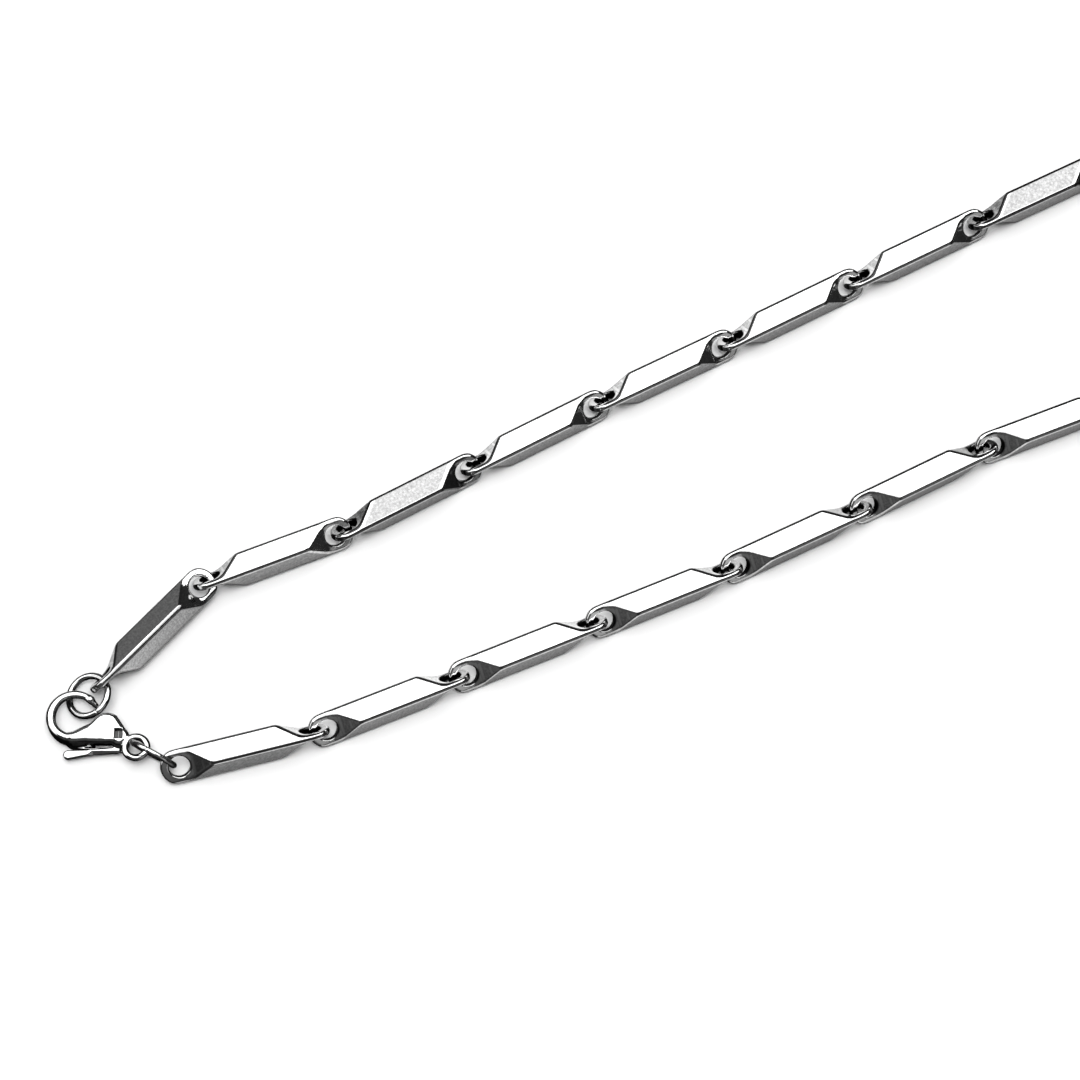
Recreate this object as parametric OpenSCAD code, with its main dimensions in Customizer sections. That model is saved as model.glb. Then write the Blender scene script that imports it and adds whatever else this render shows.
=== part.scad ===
// Necklace of square bar links with a lobster claw clasp, lying closed on a flat surface.
// Units are millimetres. X is to the right, Y away from the viewer, Z up; z = 0 is the surface.

/* [Bar link] */
// Width of the square bar
bar_side = 3.0; // [2.6:0.1:3.2]
// Fillet along the bar's four long edges
edge_fillet = 0.3; // [0.1:0.05:0.4]
// Distance between the centres of a link's two eyes
eye_pitch = 14.6; // [13:0.1:18]
// Radius of the hole in each eye
eye_hole_r = 1.16; // [1.14:0.01:1.2]
// Thickness of the flat web that holds the eye
web_thick = 0.8; // [0.7:0.02:0.82]
// Radius of the rounded end of the web
end_r = 2.08; // [2.0:0.02:2.12]
// Slope of the scoop's straight ramp
scoop_angle = 32; // [25:1:40]
// Radius of the scoop's hollow, where the ramp runs out into the web
scoop_r = 2.6; // [2:0.1:3.2]
// Where the scoop becomes flat, measured from the eye's centre into the bar
scoop_flat = 0.25; // [0:0.05:0.5]

/* [Strands] */
// Place of the clasp's tail eye, which puts the origin under the middle of the necklace
clasp_at = [-98.925, -58.55];
// First eye of the upper strand, from the tail eye
upper_from = [-3.6, 7.9];
// First eye of the lower strand, from the tail eye
lower_from = [4.8, -2.15];
// Upper strand, one row a link from the clasp: heading, roll (far edge up), distance to the next eye
upper_rows = [
    [48.0, -20, 1.60],
    [22.1, -5, 1.65],
    [29.1, 4, 1.75],
    [28.8, 0, 1.80],
    [27.6, 1, 1.85],
    [28.2, 1, 1.90],
    [27.9, 1, 1.80],
    [27.2, 2, 1.60],
    [38.0, 6, 1.55],
    [47.0, 11, 1.50]];
// Lower strand, one row a link from the clasp, with the same columns
lower_rows = [
    [14.8, -6, 1.80],
    [22.8, -2, 1.80],
    [23.2, -1, 1.70],
    [23.4, 1, 1.60],
    [26.5, 4, 1.50],
    [27.6, 7, 1.60],
    [22.2, 3, 1.60],
    [13.0, 6, 1.60],
    [4.0, 10, 1.60],
    [-6.0, 14, 1.50]];

/* [Far bend] */
// Number of links in the bend that joins the two strands, an odd number
far_links = 11; // [9:2:13]
// Distance between neighbouring eyes in that bend
far_gap = 1.5; // [1.45:0.05:1.55]

/* [Rings] */
// Diameter of the jump ring's wire
jump_wire = 0.75; // [0.6:0.05:0.75]
// Outer diameter of the jump ring at the free end
jump_ring_d = 5.4; // [5.2:0.1:5.6]
// Diameter of the wire of the ring between the clasp and the chain
link_wire = 0.65; // [0.6:0.05:0.7]
// Outer diameter of the ring between the clasp and the chain
link_ring_d = 5.8; // [5.6:0.1:5.8]

/* [Clasp] */
// Overall thickness of the clasp's body
clasp_thick = 2.2; // [2.1:0.1:2.5]
// Thickness of the hook's wire
hook_wire = 0.9; // [0.8:0.02:1.0]
// Radius of the hook's centre line
hook_r = 2.57; // [2.4:0.01:2.7]
// Height of the hook's centre line, above the jump ring that passes under it
hook_z = 1.5; // [1.4:0.05:1.6]
// Thickness of the lever
lever_thick = 0.6; // [0.5:0.05:0.65]
// Height of the lever's mid plane, low enough for the gate to swing under the jump ring
lever_z = 0.9; // [0.85:0.05:0.95]
// Thickness of the gate's end, which passes under the jump ring
gate_tip_thick = 0.3; // [0.3:0.01:0.35]
// Gap between the lever and each cheek of the body
lever_gap = 0.12; // [0.1:0.01:0.15]
// Radius of the pivot pin
pin_r = 0.35; // [0.3:0.01:0.4]
// Gap between the pivot pin and the lever's bore
pin_gap = 0.05; // [0.02:0.01:0.08]

/* [Hidden] */
$fn = 48;
steel = "silver";
n_upper = len(upper_rows);
n_lower = len(lower_rows);
n_links = n_upper + far_links + n_lower;

// Routes

function along(heading) = [cos(heading), sin(heading)];
function height_of(roll) = bar_side / 2 * (cos(roll) + abs(sin(roll)));

// Each placed link is [x and y of its first eye, heading, roll, kind]: kind 0 has the upper strand's
// hand of scoops, kind 90 the lower strand's, which is the same link a quarter turn on.
// Between two links the route runs midway between their headings.
function next_eye(rows, at, i) =
    at + along(rows[i][0]) * eye_pitch
       + along((rows[i][0] + rows[min(i + 1, len(rows) - 1)][0]) / 2) * rows[i][2];

function strand(rows, at, kind, i = 0) =
    i == len(rows) ? [] :
    concat([[at, rows[i][0], rows[i][1], kind]], strand(rows, next_eye(rows, at, i), kind, i + 1));

function strand_end(rows, at, i = 0) =
    i == len(rows) ? at : strand_end(rows, next_eye(rows, at, i), i + 1);

upper_start = clasp_at + upper_from;
lower_start = clasp_at + lower_from;
upper = strand(upper_rows, upper_start, 0);
lower = strand(lower_rows, lower_start, 90);
upper_end = strand_end(upper_rows, upper_start);
lower_end = strand_end(lower_rows, lower_start);

// The far bend mirrors about the line midway between the two strands' ends. It leaves them at an
// angle and turns by equal steps until its middle link lies across that line.
ends = upper_end - lower_end;
axis_heading = atan2(ends[1], ends[0]) - 90;
far_mid = (far_links - 1) / 2;

// Heading of the bend's link k from the mirror line, where `most` is that of the first one
function far_angle(k, most) = most - (most + 90) * k / far_mid;

// How far the links before the middle one, less half of that one, carry the chain outward
function far_reach(most, k = 0) =
    k == far_mid ? -eye_pitch / 2 :
    eye_pitch * sin(far_angle(k, most))
        + far_gap * sin((far_angle(k, most) + far_angle(k + 1, most)) / 2) + far_reach(most, k + 1);

function solve_most(low, high, n = 40) =
    n == 0 ? (low + high) / 2 :
    far_reach((low + high) / 2) < -norm(ends) / 2 ? solve_most((low + high) / 2, high, n - 1)
                                                  : solve_most(low, (low + high) / 2, n - 1);
most_angle = solve_most(10, 80);

function far_heading(k) =
    k <= far_mid ? axis_heading + far_angle(k, most_angle)
                 : axis_heading - 180 - far_angle(far_links - 1 - k, most_angle);

// The lower strand's links are a quarter turn on from the upper strand's, so the bend rolls evenly
// from the one to the other
roll_from = upper_rows[n_upper - 1][1];
roll_to = 90 - lower_rows[n_lower - 1][1];
function far_roll(k) = roll_from + (roll_to - roll_from) * (k + 1) / (far_links + 1);

far_rows = [for (k = [0 : far_links - 1]) [far_heading(k), far_roll(k), far_gap]];
far = strand(far_rows, upper_end, 0);

// Link shapes

module bar_profile() {
    core = bar_side - 2 * edge_fillet;
    square([bar_side, core], center = true);
    square([core, bar_side], center = true);
    for (sx = [-1, 1], sy = [-1, 1])
        translate([sx, sy] * core / 2) circle(r = edge_fillet);
}

// What is cut away on one side of a web, drawn with the eye at the origin, the tip towards +x
// and the web's mid plane along the x axis
module scoop_outline() {
    top = 2 * bar_side;
    centre = [-scoop_flat, web_thick / 2 + scoop_r];
    tangent = centre + scoop_r * [-sin(scoop_angle), -cos(scoop_angle)];
    ramp_end = tangent + [-(top - tangent[1]) / tan(scoop_angle), top - tangent[1]];
    translate(centre) circle(r = scoop_r, $fn = 96);
    polygon([tangent, ramp_end, [2 * end_r, top], [2 * end_r, web_thick / 2],
             [-scoop_flat, web_thick / 2], centre]);
}

// Cuts one end of the bar to its eye: the eye is at the origin, its hole along z, its tip at +x
module eye_cut() {
    reach = 2 * bar_side;
    for (side = [0, 1])
        mirror([0, 0, side])
            rotate([90, 0, 0])
                linear_extrude(height = reach, center = true) scoop_outline();
    cylinder(r = eye_hole_r, h = reach, center = true);
    // the corners outside the round end
    difference() {
        translate([0, -reach / 2, -reach / 2]) cube([2 * end_r, reach, reach]);
        cylinder(r = end_r, h = 2 * reach, center = true, $fn = 96);
    }
}

// One link along +x from its first eye at the origin, first eye's hole pointing up to the left
module bar_link() {
    color(steel)
        difference() {
            translate([-end_r, 0, 0])
                rotate([90, 0, 90])
                    linear_extrude(height = eye_pitch + 2 * end_r) bar_profile();
            rotate([-45, 0, 0]) rotate([0, 0, 180]) eye_cut();
            translate([eye_pitch, 0, 0]) rotate([45, 0, 0]) eye_cut();
        }
}

module placed_link(p) {
    translate([p[0][0], p[0][1], height_of(p[2])])
        rotate([0, 0, p[1]])
            rotate([p[2] + p[3], 0, 0])
                bar_link();
}

module link(number) {
    if (number <= n_upper) placed_link(upper[number - 1]);
    else if (number <= n_upper + far_links) placed_link(far[number - n_upper - 1]);
    else placed_link(lower[n_links - number]);
}

// Rings and clasp, all placed from the tail eye

hook_at = [-6.82, 3.6];
pivot = [-2.05, 1.45];
tail_z = 1.6;
hook_tip = [-4.45, 4.9, 1.05];
hook_turn = 50;
hook_root = 258;

module torus(mean_r, wire_r, from = 0, to = 360) {
    rotate([0, 0, from])
        rotate_extrude(angle = to - from, $fn = 96) translate([mean_r, 0]) circle(r = wire_r, $fn = 32);
}

module at_clasp() {
    translate([clasp_at[0], clasp_at[1], 0]) children();
}

module jump_ring() {
    color(steel)
        at_clasp()
            translate([-5.42, 6.11, 1.29]) rotate([0, -21, 0])
                torus((jump_ring_d - jump_wire) / 2, jump_wire / 2);
}

module link_ring() {
    color(steel)
        at_clasp()
            translate([2.03, -1.22, 2.83]) rotate([0, 0, -29.7]) rotate([103.8, 0, 0])
                torus((link_ring_d - link_wire) / 2, link_wire / 2);
}

// A strip with round ends, one radius at p and another at q; its straight part is a little narrower
// than the ends, so the pieces cross instead of touching
module strip(p, rp, q, rq, thick) {
    across = along(atan2(q[1] - p[1], q[0] - p[0]) + 90);
    translate([p[0], p[1], 0]) cylinder(r = rp, h = thick);
    translate([q[0], q[1], 0]) cylinder(r = rq, h = thick);
    linear_extrude(height = thick)
        polygon([p + across * rp * 0.97, q + across * rq * 0.97,
                 q - across * rq * 0.97, p - across * rp * 0.97]);
}

// A rod between two points in space that tapers from one radius to the other, rooted a little
// before the first point
module taper(p, rp, q, rq) {
    v = q - p;
    root = 0.12;
    translate(p)
        rotate([0, acos(v[2] / norm(v)), atan2(v[1], v[0])])
            translate([0, 0, -root]) cylinder(r1 = rp, r2 = rq, h = norm(v) + root);
}

module clasp_body() {
    slot = lever_thick + 2 * lever_gap;
    bend = [hook_at[0] + hook_r * cos(hook_turn), hook_at[1] + hook_r * sin(hook_turn), hook_z];
    color(steel)
        at_clasp()
            union() {
                difference() {
                    union() {
                        strip([-6.9, 1.2], 0.6, [-3.6, 1.9], 1.45, clasp_thick);
                        strip([-3.3, 2.4], 1.5, [-1.9, 1.15], 1.0, clasp_thick);
                    }
                    translate([-5.6, -2, lever_z - slot / 2]) cube([4.5, 8, slot]);
                }
                translate([hook_at[0], hook_at[1], hook_z])
                    torus(hook_r, hook_wire / 2, hook_turn, hook_root);
                taper(bend, hook_wire / 2 - 0.07, hook_tip, 0.2);
                translate([0, 0, tail_z]) torus(1.25, 0.35);
                translate([pivot[0], pivot[1], 0]) cylinder(r = pin_r, h = clasp_thick);
            }
}

// The gate runs from the pivot to the hook's tip, the thumb arm along the body's near side
module clasp_lever() {
    color(steel)
        at_clasp()
            translate([0, 0, lever_z - lever_thick / 2])
                difference() {
                    union() {
                        strip(pivot, 0.75, [-4.1, 4.2], 0.4, lever_thick);
                        strip(pivot, 0.65, [-2.1, -0.15], 0.35, lever_thick);
                        strip([-2.1, -0.15], 0.35, [-4.9, -0.4], 0.32, lever_thick);
                        strip([-4.9, -0.4], 0.32, [-7.2, -0.8], 0.5, lever_thick);
                    }
                    translate([pivot[0], pivot[1], -1])
                        cylinder(r = pin_r + pin_gap, h = lever_thick + 2);
                    // the gate's thin end, under the jump ring
                    translate([-6, 3.1, gate_tip_thick]) cube([4, 3, lever_thick]);
                }
}

for (i = [1 : n_links])
    link(i);
jump_ring();
link_ring();
clasp_body();
clasp_lever();
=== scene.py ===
import math

import bpy
import numpy as np
from mathutils import Matrix, Vector


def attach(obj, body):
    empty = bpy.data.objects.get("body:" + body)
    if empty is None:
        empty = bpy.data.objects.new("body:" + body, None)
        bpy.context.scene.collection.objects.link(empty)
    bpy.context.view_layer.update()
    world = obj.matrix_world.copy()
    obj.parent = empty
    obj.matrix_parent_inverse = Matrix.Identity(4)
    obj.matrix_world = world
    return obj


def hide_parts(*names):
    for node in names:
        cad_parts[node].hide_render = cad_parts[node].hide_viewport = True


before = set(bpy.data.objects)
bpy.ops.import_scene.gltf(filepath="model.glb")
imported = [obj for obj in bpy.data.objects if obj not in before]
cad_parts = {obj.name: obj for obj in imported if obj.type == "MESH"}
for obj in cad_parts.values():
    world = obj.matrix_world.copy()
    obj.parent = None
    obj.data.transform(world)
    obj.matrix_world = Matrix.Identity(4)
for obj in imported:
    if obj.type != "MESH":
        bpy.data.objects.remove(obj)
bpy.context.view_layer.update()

# The camera comes from the picture's own perspective: a long lens that looks steeply down. Its place is
# in metres, its angle in degrees, and its sensor and lens in millimetres.
CAMERA_AT = (-0.055185, -0.21407, 0.40602)
CAMERA_DOWN = 66.0
SENSOR, LENS = 36.0, 133.33
CLIP_NEAR, CLIP_FAR = 0.01, 50.0


def make_camera():
    camera = bpy.data.objects.new("camera", bpy.data.cameras.new("camera"))
    bpy.context.scene.collection.objects.link(camera)
    camera.data.sensor_width = SENSOR
    camera.data.lens = LENS
    camera.data.clip_start, camera.data.clip_end = CLIP_NEAR, CLIP_FAR
    camera.location = CAMERA_AT
    camera.rotation_euler = (math.radians(90.0 - CAMERA_DOWN), 0.0, 0.0)
    bpy.context.scene.camera = camera


make_camera()

# The links' places, by the same rules as in the solid's source. All shapes are in millimetres and
# degrees, and MM turns them into metres.
MM = 0.001
BAR, PITCH = 3.0, 14.6
CLASP = (-98.925, -58.55)
UPPER_FROM, LOWER_FROM = (-3.6, 7.9), (4.8, -2.15)
# Each link's heading, its roll and the distance from its last eye to the next link's first
UPPER = [(48.0, -20, 1.60), (22.1, -5, 1.65), (29.1, 4, 1.75), (28.8, 0, 1.80), (27.6, 1, 1.85),
         (28.2, 1, 1.90), (27.9, 1, 1.80), (27.2, 2, 1.60), (38.0, 6, 1.55), (47.0, 11, 1.50)]
LOWER = [(14.8, -6, 1.80), (22.8, -2, 1.80), (23.2, -1, 1.70), (23.4, 1, 1.60), (26.5, 4, 1.50),
         (27.6, 7, 1.60), (22.2, 3, 1.60), (13.0, 6, 1.60), (4.0, 10, 1.60), (-6.0, 14, 1.50)]
FAR_LINKS, FAR_GAP = 11, 1.5
BEND_LEAST, BEND_MOST, HALVINGS = 10.0, 80.0, 40


def along(deg):
    """The direction of a heading, counted from +X."""
    return np.array([math.cos(math.radians(deg)), math.sin(math.radians(deg))])


def strand(rows, at, kind):
    """The links of one strand, and the place of the eye that would follow. kind is a turn about each
    link's own length, on top of its roll."""
    placed = []
    for i, (heading, roll, gap) in enumerate(rows):
        placed.append((at, heading, roll, kind))
        ahead = rows[min(i + 1, len(rows) - 1)][0]
        at = at + along(heading) * PITCH + along((heading + ahead) / 2) * gap
    return placed, at


def far_bend(start, end):
    """Rows for the links that close the loop, in an even bend that is its own mirror image."""
    gap = start - end
    mirror = math.degrees(math.atan2(gap[1], gap[0])) - 90
    mid = (FAR_LINKS - 1) // 2

    def turn(k, most):
        return most - (most + 90) * k / mid

    def reach(most):
        out = -PITCH / 2
        for k in range(mid):
            half = (turn(k, most) + turn(k + 1, most)) / 2
            out += PITCH * math.sin(math.radians(turn(k, most))) + FAR_GAP * math.sin(math.radians(half))
        return out

    low, high = BEND_LEAST, BEND_MOST
    for _ in range(HALVINGS):
        most = (low + high) / 2
        if reach(most) < -np.linalg.norm(gap) / 2:
            low = most
        else:
            high = most
    first, last = UPPER[-1][1], 90 - LOWER[-1][1]
    rows = []
    for k in range(FAR_LINKS):
        heading = mirror + turn(k, most) if k <= mid else mirror - 180 - turn(FAR_LINKS - 1 - k, most)
        rows.append((heading, first + (last - first) * (k + 1) / (FAR_LINKS + 1), FAR_GAP))
    return rows


def link_places():
    """Each link's first eye, heading, roll and kind, in order round the chain."""
    upper, upper_end = strand(UPPER, np.array(CLASP) + UPPER_FROM, 0)
    lower, lower_end = strand(LOWER, np.array(CLASP) + LOWER_FROM, 90)
    far, _ = strand(far_bend(upper_end, lower_end), upper_end, 0)
    return upper + far + lower[::-1]


# Shapes are given as fields, negative inside, and meshed on a grid. Every vertex is then moved onto
# the field's own surface, and takes its normal from it, so flats are flat and roundings smooth.
SLOPE_STEP = 1e-3
SETTLE_STEPS, LEAST_SLOPE = 6, 0.2


def cut(a, b, r):
    """What lies in both, with a rounding of radius r where their surfaces meet."""
    return np.minimum(np.maximum(a, b), -r) + np.hypot(np.maximum(a + r, 0), np.maximum(b + r, 0))


def join(a, b, r):
    """What lies in either, with a fillet of radius r between them."""
    return np.maximum(np.minimum(a, b), r) - np.hypot(np.maximum(r - a, 0), np.maximum(r - b, 0))


def box_section(a, b, r):
    """Distance to a rounded rectangle. a and b are the distances past the sides of the rectangle that
    lies r inside it all round."""
    return np.hypot(np.maximum(a, 0), np.maximum(b, 0)) + np.minimum(np.maximum(a, b), 0) - r


def ramp_of(value, full, fade):
    """From 0 to 1 as value falls through a length of fade to full."""
    return np.clip((full + fade - value) / fade, 0, 1)


def spread(low, high, step):
    """Even places from low to high, about a step apart."""
    return np.linspace(low, high, max(2, int(round((high - low) / step)) + 1))


def gradient(field, p):
    g = np.empty_like(p)
    for k in range(3):
        d = np.zeros(3)
        d[k] = SLOPE_STEP
        g[:, k] = (field(p + d) - field(p - d)) / (2 * SLOPE_STEP)
    return g


def crossings(grid, f):
    """For each grid cell that the surface crosses, the mean of the places where it crosses the cell's
    edges, and with them a grid of each cell's number among these, or -1."""
    cells = tuple(s - 1 for s in f.shape)
    total, count = np.zeros(cells + (3,)), np.zeros(cells)
    for a in [(i, j, k) for i in (0, 1) for j in (0, 1) for k in (0, 1)]:
        for axis in range(3):
            if a[axis]:
                continue
            b = tuple(1 if m == axis else a[m] for m in range(3))
            ia = tuple(slice(a[m], a[m] + cells[m]) for m in range(3))
            ib = tuple(slice(b[m], b[m] + cells[m]) for m in range(3))
            fa, fb = f[ia], f[ib]
            hit = (fa < 0) != (fb < 0)
            t = np.where(hit, fa / np.where(hit, fa - fb, 1.0), 0.0)[..., None]
            total += np.where(hit[..., None], grid[ia] + t * (grid[ib] - grid[ia]), 0.0)
            count += hit
    used = count > 0
    number = np.full(cells, -1)
    number[used] = np.arange(used.sum())
    return total[used] / count[used][:, None], number


def settled(field, p):
    """The points moved onto the field's surface, and the surface's unit normals there."""
    for _ in range(SETTLE_STEPS):
        g = gradient(field, p)
        p = p - (field(p) / np.maximum((g * g).sum(1), LEAST_SLOPE))[:, None] * g
    g = gradient(field, p)
    g /= np.linalg.norm(g, axis=1)[:, None]
    return p, g


def quads(f, number):
    """A face for each grid edge that the surface crosses, between the four cells round that edge."""
    faces = []
    for axis in range(3):
        u, v = (axis + 1) % 3, (axis + 2) % 3
        ia = [slice(1, s - 1) for s in f.shape]
        ib = list(ia)
        ia[axis], ib[axis] = slice(0, f.shape[axis] - 1), slice(1, f.shape[axis])
        fa, fb = f[tuple(ia)], f[tuple(ib)]
        where = np.argwhere((fa < 0) != (fb < 0))
        inside = (fa < 0)[tuple(where.T)]
        where[:, u] += 1
        where[:, v] += 1
        ring = []
        for du, dv in ((0, 0), (-1, 0), (-1, -1), (0, -1)):
            cell = where.copy()
            cell[:, u] += du
            cell[:, v] += dv
            ring.append(number[tuple(cell.T)])
        quad = np.stack(ring, 1)
        quad[~inside] = quad[~inside][:, ::-1]
        faces.append(quad)
    return np.concatenate(faces)


def add_values(mesh, values):
    """Point attributes for the material, by name."""
    for key, value in values.items():
        mesh.attributes.new(key, "FLOAT", "POINT").data.foreach_set("value", value.astype(np.float32))


def mesh_of(name, field, axes, marks):
    """A mesh of the field's surface, one vertex a grid cell that it crosses. axes are the grid's places
    along x, y and z, and marks gives the points' attributes from their places and normals."""
    grid = np.stack(np.meshgrid(*axes, indexing="ij"), -1)
    f = field(grid.reshape(-1, 3)).reshape(grid.shape[:3])
    p, number = crossings(grid, f)
    p, g = settled(field, p)
    mesh = bpy.data.meshes.new(name)
    mesh.from_pydata((p * MM).tolist(), [], quads(f, number).tolist())
    mesh.polygons.foreach_set("use_smooth", [True] * len(mesh.polygons))
    mesh.normals_split_custom_set_from_vertices(g.tolist())
    add_values(mesh, marks(p, g))
    return mesh


# A bar link: a square bar with rounded edges, scooped to a flat web at each end, the second end's web
# square to the first's, with a round end and a hole through each web
FILLET, EYE_R, WEB, END_R = 0.4, 1.16, 0.8, 2.08
RAMP, SCOOP_R, SCOOP_FLAT = 32.0, 2.6, 0.25
CREST, RIM, HOLE_RIM = 0.24, 0.3, 0.2
# The grid is fine over each end's part and coarse along the plain bar between them
END_PART, LINK_STEP, MIDDLE_STEP, LINK_MARGIN = 5.2, 0.115, 1.0, 0.17
HOLE_DARK, HOLE_FADE, SCOOP_FADE = 0.02, 0.12, 0.05
SLANT_FROM, SLANT_FADE = 0.45, 0.2
END_ON, END_ON_FADE = 0.25, 0.1
TINY = 1e-6


def from_eyes(p):
    """Each point's place seen from both eyes: towards the tip, across the web and along the hole."""
    x, y, z = p.T
    rising, falling = (y + z) * math.sqrt(0.5), (z - y) * math.sqrt(0.5)
    return (-x, falling, rising), (x - PITCH, rising, falling)


def eye_field(u, v, w):
    """The web, its round end and its hole; the eye at the origin, the tip towards +u, the hole along w."""
    w = np.abs(w)
    ramp = math.radians(RAMP)
    cu, cw = -SCOOP_FLAT, WEB / 2 + SCOOP_R
    tu, tw = cu - SCOOP_R * math.sin(ramp), cw - SCOOP_R * math.cos(ramp)
    hollow = SCOOP_R - np.hypot(u - cu, w - cw)
    straight = (w - tw) * math.cos(ramp) + (u - tu) * math.sin(ramp)
    web = np.where(u > cu, w - WEB / 2, np.where(u < tu - (w - tw) * math.tan(ramp), straight, hollow))
    r = np.hypot(u, v)
    end = np.where(u > 0, r, np.abs(v)) - END_R
    return web, end, EYE_R - r


def link_field(p):
    q = np.abs(np.stack([p[:, 1], p[:, 2]])) - (BAR / 2 - FILLET)
    d = box_section(q[0], q[1], FILLET)
    for u, v, w in from_eyes(p):
        web, end, hole = eye_field(u, v, w)
        d = cut(d, web, CREST)
        d = cut(d, end, RIM)
        d = cut(d, hole, HOLE_RIM)
    return d


def link_marks(p, g):
    """The first value is painted shade, a darkening of the hole walls, and inset the distance in from a
    face's edges. scoop and edge say how much a point belongs to a scoop or to the middle of a rounded long
    edge."""
    dark, scoop = np.zeros(len(p)), np.zeros(len(p))
    inset = BAR / 2 - np.minimum(np.abs(p[:, 1]), np.abs(p[:, 2]))
    for u, v, w in from_eyes(p):
        web = eye_field(u, v, w)[0]
        # Painted shade: the hole walls darken towards the eye's rim
        dark = np.maximum(dark, ramp_of(np.hypot(u, v), EYE_R + HOLE_DARK, HOLE_FADE))
        inset = np.minimum(inset, -web)
        scoop = np.maximum(scoop, ramp_of(-web, 0, SCOOP_FADE))
    along_x, along_y, along_z = np.abs(g).T
    slant = np.minimum(along_y, along_z) / np.maximum(np.maximum(along_y, along_z), TINY)
    edge = np.clip((slant - SLANT_FROM) / SLANT_FADE, 0, 1) * ramp_of(along_x, END_ON, END_ON_FADE)
    return {"painted_shade": dark, "inset": inset, "scoop": scoop, "edge": edge * (1 - scoop)}


def make_link_mesh():
    """The one mesh that all links share."""
    end = spread(-END_R - LINK_MARGIN, END_PART, LINK_STEP)
    middle = spread(END_PART, PITCH - END_PART, MIDDLE_STEP)[1:-1]
    lengthwise = np.concatenate([end, middle, (PITCH - end)[::-1]])
    across = spread(-BAR / 2 - LINK_MARGIN, BAR / 2 + LINK_MARGIN, LINK_STEP)
    return mesh_of("bar_link", link_field, (lengthwise, across, across), link_marks)


# Steel. Each noise's scale per metre, detail and roughness, and how far an object's own random number
# moves it through them, in metres
GRAIN, GRAIN_SPAN = (3600.0, 4.0, 0.65), (0.36, 0.64)
CLOUD, CLOUD_SPAN = (900.0, 2.0, 0.5), (0.3, 0.7)
LINES, LENGTHWISE = (7000.0, 2.0, 0.5), (0.05, 1.0, 1.0)
OBJECT_SHIFT = (0.31, 0.17, 0.23)
# How far the grain darkens and lightens the tone, and what crests, scoops and long edges multiply it by:
# the scoops' factor is painted light, the long edges' a painted dark line
GRAIN_DARKER, GRAIN_LIGHTER = 0.20, 0.16
WORN, WORN_SPAN = 1.35, (0.52, 0.60)
SCOOP_PAINTED_LIGHT, EDGE_PAINTED_DARK = 1.3, 0.35
GLOSS_LEAST, GLOSS_MOST = 0.7, 1.4
# The last is the dark tone that painted shade goes towards
SPECULAR_TINT, PAINTED_SHADE_TONE = 0.45, 0.02
# Painted shade, darker towards the floor: the heights in metres over which each layer fades out, and what
# it leaves of the reflectance
FLOOR_SHADE = [(0.0, 0.0023, 0.55), (0.0002, 0.0006, 0.25)]
# The mottled film: what it leaves of the reflectance, and the normals and the inset that bound it
MOTTLE = (3200.0, 3.0, 0.6)
FACE_MOTTLE, FACE_LEFT = (0.30, 0.70), (0.36, 0.54)
SCOOP_MOTTLE, SCOOP_LEFT = (0.32, 0.68), (0.30, 0.60)
FACE_UP, FACE_INSET = (0.96, 0.99), (0.22, 0.38)
SCOOP_UP, SCOOP_UP_END = (0.3, 0.45), (0.85, 0.92)
BUMP_STRENGTH, BUMP_DEPTH = 0.35, 0.000012


def grey(value):
    return (value, value, value, 1)


class Nodes:
    """Short ways to add nodes to a tree. add gives the node itself, and those after it its output."""

    def __init__(self, tree):
        self.tree = tree

    def feed(self, socket, source):
        """Link a socket to an output, or give it a value of its own."""
        if isinstance(source, bpy.types.NodeSocket):
            self.tree.links.new(source, socket)
        else:
            socket.default_value = source

    def add(self, kind, **inputs):
        node = self.tree.nodes.new(kind)
        for key, source in inputs.items():
            self.feed(node.inputs[key.replace("_", " ")], source)
        return node

    def noise(self, at, scale, detail, roughness):
        node = self.add("ShaderNodeTexNoise", Vector=at, Scale=scale, Detail=detail, Roughness=roughness)
        return node.outputs[0]

    def span(self, source, low, high, start=0.0, stop=1.0, smooth=False):
        """From start to stop as the source goes from low to high."""
        node = self.add("ShaderNodeMapRange", From_Min=low, From_Max=high, To_Min=start, To_Max=stop)
        if smooth:
            node.interpolation_type = "SMOOTHSTEP"
        self.feed(node.inputs[0], source)
        return node.outputs[0]

    def number(self, operation, *sources):
        node = self.add("ShaderNodeMath")
        node.operation = operation
        for socket, source in zip(node.inputs, sources):
            self.feed(socket, source)
        return node.outputs[0]

    def vector(self, operation, *sources):
        node = self.add("ShaderNodeVectorMath")
        node.operation = operation
        for socket, source in zip(node.inputs, sources):
            self.feed(socket, source)
        return node.outputs["Value" if operation == "DOT_PRODUCT" else "Vector"]

    def mix(self, base, other, factor, blend="MIX"):
        node = self.add("ShaderNodeMix")
        node.data_type = "RGBA"
        node.blend_type = blend
        for key, source in (("Factor", factor), ("A", base), ("B", other)):
            self.feed(node.inputs[key], source)
        return node.outputs["Result"]

    def multiply(self, base, by, factor):
        return self.mix(base, by, factor, "MULTIPLY")

    def point_value(self, key):
        node = self.add("ShaderNodeAttribute")
        node.attribute_name = key
        return node.outputs["Fac"]

    def upward(self, source):
        return self.add("ShaderNodeSeparateXYZ", Vector=source).outputs["Z"]


def filmed(make, colour, at, up):
    """The colour under a mottled film, on the face that lies along the object's +Z, inside its edges, and
    on the scoops beside it. up is the normal's part along the object's +Z."""
    mottle = make.noise(at, *MOTTLE)
    inside = make.span(make.point_value("inset"), *FACE_INSET)
    face = make.number("MULTIPLY", make.span(up, *FACE_UP), inside)
    scoops = make.number("MULTIPLY", make.span(up, *SCOOP_UP), make.span(up, *SCOOP_UP_END, 1.0, 0.0))
    colour = make.multiply(colour, make.span(mottle, *FACE_MOTTLE, *FACE_LEFT), face)
    return make.multiply(colour, make.span(mottle, *SCOOP_MOTTLE, *SCOOP_LEFT), scoops)


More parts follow.
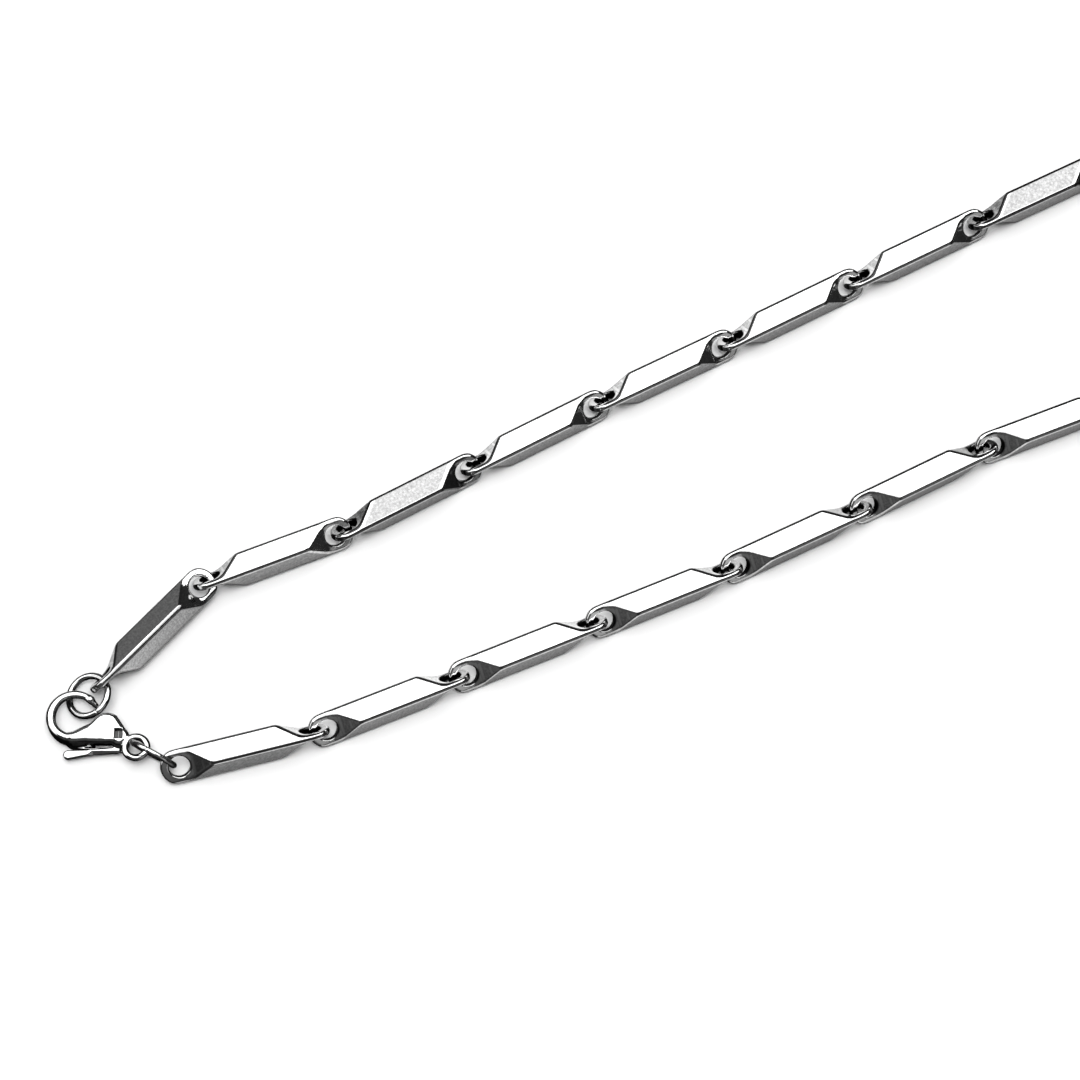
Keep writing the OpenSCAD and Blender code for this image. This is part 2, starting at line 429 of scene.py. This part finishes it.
def polished_steel(name, tone, rough, haze, scuffed=False):
    """Polished steel: fine grain, faint lengthwise grinding lines and brighter worn crests, with painted
    light on the scoops, a painted dark line on the rounded long edges, painted shade that darkens it
    towards the floor, and painted shade wherever the mesh marks it. tone is its reflectance, rough its
    gloss, and haze how much the grain shows. scuffed adds a mottled film on one face."""
    steel = bpy.data.materials.new(name)
    steel.use_nodes = True
    make = Nodes(steel.node_tree)
    shader = steel.node_tree.nodes["Principled BSDF"]
    shader.inputs["Metallic"].default_value = 1.0
    shader.inputs["Specular Tint"].default_value = grey(SPECULAR_TINT)
    coord = make.add("ShaderNodeTexCoord")
    chance = make.add("ShaderNodeObjectInfo").outputs["Random"]
    surface = make.add("ShaderNodeNewGeometry")
    at = make.vector("MULTIPLY_ADD", chance, OBJECT_SHIFT, coord.outputs["Object"])
    grain = make.noise(at, *GRAIN)
    lines = make.noise(make.vector("MULTIPLY", at, LENGTHWISE), *LINES)

    darkest, lightest = tone * (1 - GRAIN_DARKER * haze), tone * (1 + GRAIN_LIGHTER * haze)
    colour = make.span(grain, *GRAIN_SPAN, darkest, lightest)
    crest = make.span(surface.outputs["Pointiness"], *WORN_SPAN)
    colour = make.mix(colour, grey(min(1, tone * WORN)), crest)
    # Painted light on the scoops, and a painted dark line along the middle of the rounded long edges
    colour = make.multiply(colour, grey(SCOOP_PAINTED_LIGHT), make.point_value("scoop"))
    colour = make.multiply(colour, grey(EDGE_PAINTED_DARK), make.point_value("edge"))
    # Painted shade: the steel's colour darkens towards the floor
    height = make.upward(surface.outputs["Position"])
    for low, high, left in FLOOR_SHADE:
        colour = make.multiply(colour, grey(left), make.span(height, low, high, 1.0, 0.0))
    if scuffed:
        colour = filmed(make, colour, at, make.upward(coord.outputs["Normal"]))
    # Painted shade: where the mesh marks it, the colour goes towards that dark tone
    colour = make.mix(colour, grey(PAINTED_SHADE_TONE), make.point_value("painted_shade"))
    make.feed(shader.inputs["Base Color"], colour)

    gloss = make.span(make.noise(at, *CLOUD), *CLOUD_SPAN, rough * GLOSS_LEAST, rough * GLOSS_MOST)
    make.feed(shader.inputs["Roughness"], gloss)
    bump = make.add("ShaderNodeBump", Strength=BUMP_STRENGTH * haze, Distance=BUMP_DEPTH,
                    Height=make.number("ADD", grain, lines))
    make.feed(shader.inputs["Normal"], bump.outputs[0])
    return steel


# Pieces. Each replaces the solid that it is named for and rides on that solid's body.
def moved(x, y, z):
    return Matrix.Translation((x * MM, y * MM, z * MM))


def turned(degrees, axis):
    return Matrix.Rotation(math.radians(degrees), 4, axis)


def piece(name, mesh, body, node, material, place):
    """One object at its place, which replaces the solid called node."""
    made = bpy.data.objects.new(name, mesh)
    bpy.context.scene.collection.objects.link(made)
    made.matrix_world = place
    if material.name not in mesh.materials:
        mesh.materials.append(material)
    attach(made, body)
    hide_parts(node)
    return made


def make_links(steel, scuffed_steel, scuffed):
    """All the links. scuffed holds the numbers of those with a mottled film."""
    mesh = make_link_mesh()
    for number, (at, heading, roll, kind) in enumerate(link_places(), 1):
        lift = BAR / 2 * (math.cos(math.radians(roll)) + abs(math.sin(math.radians(roll))))
        place = moved(at[0], at[1], lift) @ turned(heading, "Z") @ turned(roll + kind, "X")
        name = "link_%02d" % number
        bar = piece("bar_" + name, mesh, "necklace", name, steel, place)
        if number in scuffed:
            bar.material_slots[0].link = "OBJECT"
            bar.material_slots[0].material = scuffed_steel


# Rings: round wire bent to a circle, its two cut ends meeting in a fine seam. Each ring's mean radius,
# its wire's radius and its seam's turn, then its place from the clasp's tail eye and how it leans
JUMP_RING = (2.325, 0.375, 300)
JUMP_AT, JUMP_LEAN = (-5.42, 6.11, 1.29), -21
CONNECTING_RING = (2.575, 0.325, 95)
CONNECTING_AT, CONNECTING_HEADING, CONNECTING_LEAN = (2.03, -1.22, 2.83), -29.7, 103.8
RING_PARTS, WIRE_SIDES = 160, 32
# The seam's width, the turn in radians over which each cut end narrows, and what is left of the wire's
# radius at the cut's rim and at its middle
SEAM, NARROWS, CUT_RIM, CUT_MIDDLE = 0.05, 0.02, 0.9, 0.02
# Painted shade on what faces down or sideways: its strength, the upward part below which it is full and
# the length over which it fades
SIDE_SHADE, SIDE_SHADE_UP, SIDE_SHADE_FADE = 0.92, 0.48, 0.22


def painted_side_shade(up):
    """Painted shade on what faces down or sideways. up is a unit normal's upward part."""
    return SIDE_SHADE * ramp_of(up, SIDE_SHADE_UP, SIDE_SHADE_FADE)


def wire_ring(name, mean_r, wire_r, seam_deg, place):
    """A ring in its own XY plane, its seam at seam_deg. place tells which of its sides face down."""
    half = SEAM / mean_r / 2
    full = half + NARROWS
    wire_turns = np.linspace(full, 2 * math.pi - full, RING_PARTS)
    turn = np.concatenate([[half] * 2, wire_turns, [2 * math.pi - half] * 2]) + math.radians(seam_deg)
    shrink = np.ones(len(turn))
    shrink[0] = shrink[-1] = CUT_MIDDLE
    shrink[1] = shrink[-2] = CUT_RIM
    around = np.linspace(0, 2 * math.pi, WIRE_SIDES + 1)[:-1]
    points, faces, up = [], [], []
    world_up = place.to_3x3()[2]
    for t, s in zip(turn, shrink):
        for a in around:
            r = mean_r + wire_r * s * math.cos(a)
            points.append((r * math.cos(t) * MM, r * math.sin(t) * MM, wire_r * s * math.sin(a) * MM))
            outward = Vector((math.cos(a) * math.cos(t), math.cos(a) * math.sin(t), math.sin(a)))
            up.append(world_up @ outward)
    n = WIRE_SIDES
    for i in range(len(turn) - 1):
        for j in range(n):
            a, b = i * n + j, i * n + (j + 1) % n
            faces.append((a, a + n, b + n, b))
    faces.append(tuple(range(n)))
    faces.append(tuple(range(len(turn) * n - 1, (len(turn) - 1) * n - 1, -1)))
    mesh = bpy.data.meshes.new(name)
    mesh.from_pydata(points, [], faces)
    mesh.polygons.foreach_set("use_smooth", [True] * len(mesh.polygons))
    # Painted shade on the wire's sides that face down or sideways
    add_values(mesh, {"painted_shade": painted_side_shade(np.array(up))})
    return mesh


def make_rings(tail, jump_steel, connecting_steel):
    place = tail @ moved(*JUMP_AT) @ turned(JUMP_LEAN, "Y")
    ring = wire_ring("jump_wire_ring", *JUMP_RING, place)
    piece("jump_wire_ring", ring, "necklace", "jump_ring", jump_steel, place)
    place = tail @ moved(*CONNECTING_AT) @ turned(CONNECTING_HEADING, "Z") @ turned(CONNECTING_LEAN, "X")
    ring = wire_ring("connecting_ring", *CONNECTING_RING, place)
    piece("connecting_ring", ring, "necklace", "link_ring", connecting_steel, place)


# The clasp, from its tail eye. Its sizes are the solid's or close to them.
THICK, SLOT_Z, SLOT_T = 2.2, 0.9, 0.84
SLOT_FROM, SLOT_TO = -5.6, -1.1
HOOK, HOOK_R, HOOK_Z = (-6.82, 3.6), 2.57, 1.5
PIVOT, PIN_R, PIN_SUNK, BORE_R = (-2.05, 1.45), 0.35, 0.1, 0.4
TAIL_R, TAIL_WIRE, TAIL_Z = 1.2, 0.4, 1.6
# The hook's band, from its tip to its root in the body: turns about its centre, and at each turn the
# band's half width, its half height and the height of its middle
HOOK_TIP, HOOK_ROOT, HOOK_WRAP, BAND_ROUND = 50, 308, 5, 0.92
BAND_WIDE = ([50, 120, 180, 240], [0.39, 0.45, 0.50, 0.52])
BAND_TALL = ([50, 115, 150, 190, 235], [0.39, 0.45, 0.60, 0.85, 1.00])
BAND_MIDDLE = ([50, 115, 150, 190, 235], [1.50, 1.50, 1.42, 1.22, 1.10])
NOSE_FROM_R, NOSE, NOSE_R = 0.385, (-4.45, 4.9, 1.10), 0.28
# The body's domed lobes, the ledge at its foot and the groove across its neck
FRONT_LOBE = ((-6.9, 1.15), 0.6, (-3.6, 1.9), 1.5)
BACK_LOBE = ((-3.2, 2.45), 1.55, (-1.85, 1.25), 1.08)
LOBE_JOIN, DOME, FOOT = 0.4, 0.62, 0.3
LEDGE_OUT, LEDGE_TOP, LEDGE_ROUND, LEDGE_FOOT = 0.30, 0.46, 0.10, 0.14
GROOVE_X, GROOVE_Y, GROOVE_HALF, GROOVE_DEEP, GROOVE_SLOPE = -1.9, 1.42, 0.55, 0.5, 0.71
CUT_EDGE, HOOK_JOIN, NOSE_JOIN, TAIL_JOIN = 0.1, 0.35, 0.25, 0.2
# Painted shade in the slot and the groove: where it is full, the length over which it fades, and the x
# beyond which the slot's stops
SLOT_IN, SLOT_IN_FADE, SLOT_LEVEL, SLOT_LEVEL_FADE, SLOT_END = -0.05, 0.1, 0.38, 0.03, -5.7
GROOVE_DARK, GROOVE_IN, GROOVE_FADE = 0.88, -0.01, 0.05
BODY_BOX, BODY_STEP = ((-10.1, 1.8), (-1.8, 6.9), (-0.15, 2.4)), 0.09
# The lever: its gate, its heel beside the pin and its arm, which widens to the thumb
HEEL, NECK, THUMB = (-2.1, -0.1), (-4.9, -0.36), (-7.35, -0.65)
GATE_STRIP, HEEL_STRIP = (PIVOT, 0.75, (-4.1, 4.2), 0.4), (PIVOT, 0.65, HEEL, 0.35)
ARM_STRIP, THUMB_STRIP = (HEEL, 0.35, NECK, 0.3), (NECK, 0.3, THUMB, 0.52)
HEEL_JOIN, ARM_JOIN = 0.2, 0.15
LEVER_HALF, LEVER_ROUND, LEVER_EDGE, BORE_ROUND = 0.3, 0.2, 0.06, 0.05
# A bevel along the arm's upper near edge, which ends at the thumb
ARM_BELOW, BEVEL_SLOPE, BEVEL_AT = 0.3, (-0.6, 0.8), (-0.2, 1.2)
THUMB_FROM, THUMB_LENGTH, THUMB_RISE = -4.7, 1.2, 0.6
# The gate ends flat at this y. The solid's gate goes on, with a thin end under the jump ring.
GATE_END = 3.1
LEVER_BOX, LEVER_STEP = ((-8.1, -0.9), (-1.6, 4.9), (0.1, 1.35)), 0.07


def strip(x, y, p, rp, q, rq):
    """Distance to a strip with round ends, its radius going evenly from rp at p to rq at q."""
    px, py = x - p[0], y - p[1]
    dx, dy = q[0] - p[0], q[1] - p[1]
    t = np.clip((px * dx + py * dy) / (dx * dx + dy * dy), 0, 1)
    return np.hypot(px - dx * t, py - dy * t) - (rp + (rq - rp) * t)


def rod(p, a, ra, b, rb):
    """Distance to a round rod with round ends, its radius going evenly from ra at a to rb at b."""
    a, b = np.array(a, float), np.array(b, float)
    v = b - a
    t = np.clip(((p - a) @ v) / (v @ v), 0, 1)
    return np.linalg.norm(p - a - t[:, None] * v, axis=1) - (ra + (rb - ra) * t)


def hook_band(p):
    """The hook's arc: thin and round at its tip, a tall band where it runs into the body."""
    x, y = p[:, 0] - HOOK[0], p[:, 1] - HOOK[1]
    turn = np.degrees(np.arctan2(y, x)) % 360
    turn = np.where(turn < HOOK_WRAP, turn + 360, turn)
    held = np.clip(turn, HOOK_TIP, HOOK_ROOT)
    wide = np.interp(held, *BAND_WIDE)
    tall = np.interp(held, *BAND_TALL)
    middle = np.interp(held, *BAND_MIDDLE)
    off = turn - held
    ahead = np.hypot(x, y) * np.sin(np.radians(off))
    apart = np.hypot(x, y) * np.cos(np.radians(off)) - HOOK_R
    side = np.hypot(apart, ahead)
    r = BAND_ROUND * wide
    return box_section(side - (wide - r), np.abs(p[:, 2] - middle) - (tall - r), r)


def hook_nose(p):
    """The hook's tip, which goes on from the band's end down towards the gate."""
    tip = along(HOOK_TIP) * HOOK_R
    return rod(p, (HOOK[0] + tip[0], HOOK[1] + tip[1], HOOK_Z), NOSE_FROM_R, NOSE, NOSE_R)


def lobe_outline(x, y):
    """The body's outline seen from above, without its hook and eye."""
    return join(strip(x, y, *FRONT_LOBE), strip(x, y, *BACK_LOBE), LOBE_JOIN)


def groove_field(x, y, z):
    """A groove across the top of the neck."""
    slopes = GROOVE_SLOPE * (THICK - GROOVE_DEEP + np.abs(x - GROOVE_X) - z)
    return np.maximum(slopes, np.abs(y - GROOVE_Y) - GROOVE_HALF)


def body_field(p):
    x, y, z = p.T
    outline = lobe_outline(x, y)
    d = cut(cut(outline, z - THICK, DOME), -z, FOOT)
    wider = np.minimum(outline, lobe_outline(x, y + LEDGE_OUT))
    d = np.minimum(d, cut(cut(wider, z - LEDGE_TOP, LEDGE_ROUND), -z, LEDGE_FOOT))
    pin = np.maximum(np.hypot(x - PIVOT[0], y - PIVOT[1]) - PIN_R,
                     np.abs(z - THICK / 2) - THICK / 2 + PIN_SUNK)
    slot = np.maximum(np.maximum(SLOT_FROM - x, x - SLOT_TO), np.abs(z - SLOT_Z) - SLOT_T / 2)
    d = np.minimum(cut(d, -slot, CUT_EDGE), pin)
    d = cut(d, -groove_field(x, y, z), CUT_EDGE)
    d = join(d, hook_band(p), HOOK_JOIN)
    d = join(d, hook_nose(p), NOSE_JOIN)
    eye = np.hypot(np.hypot(x, y) - TAIL_R, z - TAIL_Z) - TAIL_WIRE
    return join(d, eye, TAIL_JOIN)


def body_marks(p, g):
    """Painted shade inside the lever's slot and the groove, and on what faces down or sideways."""
    x, y, z = p.T
    deep = ramp_of(lobe_outline(x, y), SLOT_IN, SLOT_IN_FADE)
    level = ramp_of(np.abs(z - SLOT_Z), SLOT_LEVEL, SLOT_LEVEL_FADE)
    groove = GROOVE_DARK * ramp_of(groove_field(x, y, z), GROOVE_IN, GROOVE_FADE)
    return {"painted_shade": np.maximum(np.maximum(deep * level * (x > SLOT_END), groove), painted_side_shade(g[:, 2]))}


def lever_field(p):
    x, y, z = p.T
    flat = join(strip(x, y, *GATE_STRIP), strip(x, y, *HEEL_STRIP), HEEL_JOIN)
    flat = join(flat, strip(x, y, *ARM_STRIP), ARM_JOIN)
    flat = join(flat, strip(x, y, *THUMB_STRIP), ARM_JOIN)
    d = cut(flat, np.abs(z - SLOT_Z) - LEVER_HALF, LEVER_ROUND)
    bevel = BEVEL_SLOPE[1] * (z - BEVEL_AT[1]) + BEVEL_SLOPE[0] * (y - BEVEL_AT[0])
    bevel = bevel - THUMB_RISE * np.clip((THUMB_FROM - x) / THUMB_LENGTH, 0, 1)
    d = cut(d, np.where(y < ARM_BELOW, bevel, -1.0), LEVER_EDGE)
    d = cut(d, y - GATE_END, LEVER_EDGE)
    return cut(d, BORE_R - np.hypot(x - PIVOT[0], y - PIVOT[1]), BORE_ROUND)


def lever_marks(p, g):
    # Painted shade on what faces down or sideways
    return {"painted_shade": painted_side_shade(g[:, 2])}


def make_clasp(tail, steel):
    body_axes = [spread(*side, BODY_STEP) for side in BODY_BOX]
    body = mesh_of("clasp_body_form", body_field, body_axes, body_marks)
    piece("clasp_body_form", body, "necklace", "clasp_body", steel, tail)
    lever_axes = [spread(*side, LEVER_STEP) for side in LEVER_BOX]
    lever = mesh_of("clasp_lever_form", lever_field, lever_axes, lever_marks)
    piece("clasp_lever_form", lever, "lever", "clasp_lever", steel, tail)


polished = polished_steel("polished_steel", tone=0.50, rough=0.055, haze=1.0)
wire = polished_steel("wire_steel", tone=0.56, rough=0.05, haze=0.5)
satin = polished_steel("satin_steel", tone=0.62, rough=0.17, haze=0.5)
mottled = polished_steel("scuffed_steel", tone=0.50, rough=0.07, haze=1.0, scuffed=True)
clasp_at = moved(*CLASP, 0)
make_links(polished, mottled, scuffed=(3, 8))
make_rings(clasp_at, wire, satin)
make_clasp(clasp_at, wire)

# Floor, light and surroundings, in metres. The metal mirrors a studio of soft cards round the object
# instead of the floor itself, so that its faces keep the tones of the picture.
FLOOR_HALF, FLOOR_DROP, FLOOR_TONE, FLOOR_ROUGH = 6, 0.00002, 0.82, 0.95
LIGHT_AIM, LIGHT_DISTANCE = (-0.05, -0.03, 0), 2.5
# Each light: its size, its elevation and power, and whether the metal mirrors it or it lights the floor
LIGHTS = [
    ("softbox", (5.6, 2.3), 76, 147.0, True),
    ("key", (2.0, 1.34), 97, 50.0, False),
    ("far_fill", (4.0, 2.2), 58, 42.0, False),
]
# Each card: the direction it is in, its brightness, and the angles at which it starts and stops fading
CARDS = [
    ((-0.30, 0.70, -0.60), 1.15, 25, 32),
    ((0.33, -0.20, -0.92), 0.58, 14, 32),
    ((0.121, 0.770, -0.627), 1.10, 10, 20),
    ((0.50, -0.74, -0.46), 1.30, 19, 27),
    ((0.82, -0.27, -0.51), 0.48, 9, 18),
    ((-0.389, 0.758, 0.526), 0.19, 8, 20),
    ((0.0, -0.914, 0.407), 0.075, 20, 50),
    ((0.66, -0.68, 0.33), 0.38, 8, 24),
    ((0.0, -0.25, 0.97), 2.20, 12, 22),
    ((-0.85, -0.15, 0.50), 2.00, 12, 22),
]
BETWEEN_CARDS = 0.03


def make_floor():
    h = FLOOR_HALF
    mesh = bpy.data.meshes.new("floor")
    mesh.from_pydata([(-h, -h, 0), (h, -h, 0), (h, h, 0), (-h, h, 0)], [], [(0, 1, 2, 3)])
    floor = bpy.data.objects.new("floor", mesh)
    bpy.context.scene.collection.objects.link(floor)
    floor.location.z = -FLOOR_DROP
    floor.visible_glossy = False
    paper = bpy.data.materials.new("pale_floor")
    paper.use_nodes = True
    shader = paper.node_tree.nodes["Principled BSDF"]
    shader.inputs["Base Color"].default_value = grey(FLOOR_TONE)
    shader.inputs["Roughness"].default_value = FLOOR_ROUGH
    shader.inputs["Specular IOR Level"].default_value = 0.0
    mesh.materials.append(paper)


def area_light(name, size, elevation, power, mirrored):
    """A soft light aimed at the object, on its far side below 90 degrees."""
    lamp = bpy.data.lights.new(name, "AREA")
    lamp.shape = "RECTANGLE"
    lamp.size, lamp.size_y = size
    lamp.energy = power
    light = bpy.data.objects.new(name, lamp)
    bpy.context.scene.collection.objects.link(light)
    up = Vector((0, math.cos(math.radians(elevation)), math.sin(math.radians(elevation))))
    light.location = Vector(LIGHT_AIM) + up * LIGHT_DISTANCE
    light.rotation_euler = up.to_track_quat("Z", "Y").to_euler()
    light.visible_camera = False
    light.visible_glossy = mirrored
    light.visible_diffuse = not mirrored


def make_surroundings():
    """A dim studio with a soft card in each direction that CARDS holds."""
    world = bpy.data.worlds.new("surroundings")
    world.use_nodes = True
    make = Nodes(world.node_tree)
    way = make.add("ShaderNodeTexCoord").outputs["Generated"]
    level = BETWEEN_CARDS
    for direction, bright, near, far in CARDS:
        towards = make.vector("DOT_PRODUCT", way, Vector(direction).normalized())
        outer, inner = math.cos(math.radians(far)), math.cos(math.radians(near))
        card = make.span(towards, outer, inner, 0.0, bright, smooth=True)
        level = make.number("ADD", level, card)
    make.feed(world.node_tree.nodes["Background"].inputs["Color"], level)
    bpy.context.scene.world = world


make_floor()
for light_row in LIGHTS:
    area_light(*light_row)
make_surroundings()
bpy.context.scene.view_settings.view_transform = "Standard"
bpy.context.scene.view_settings.look = "None"
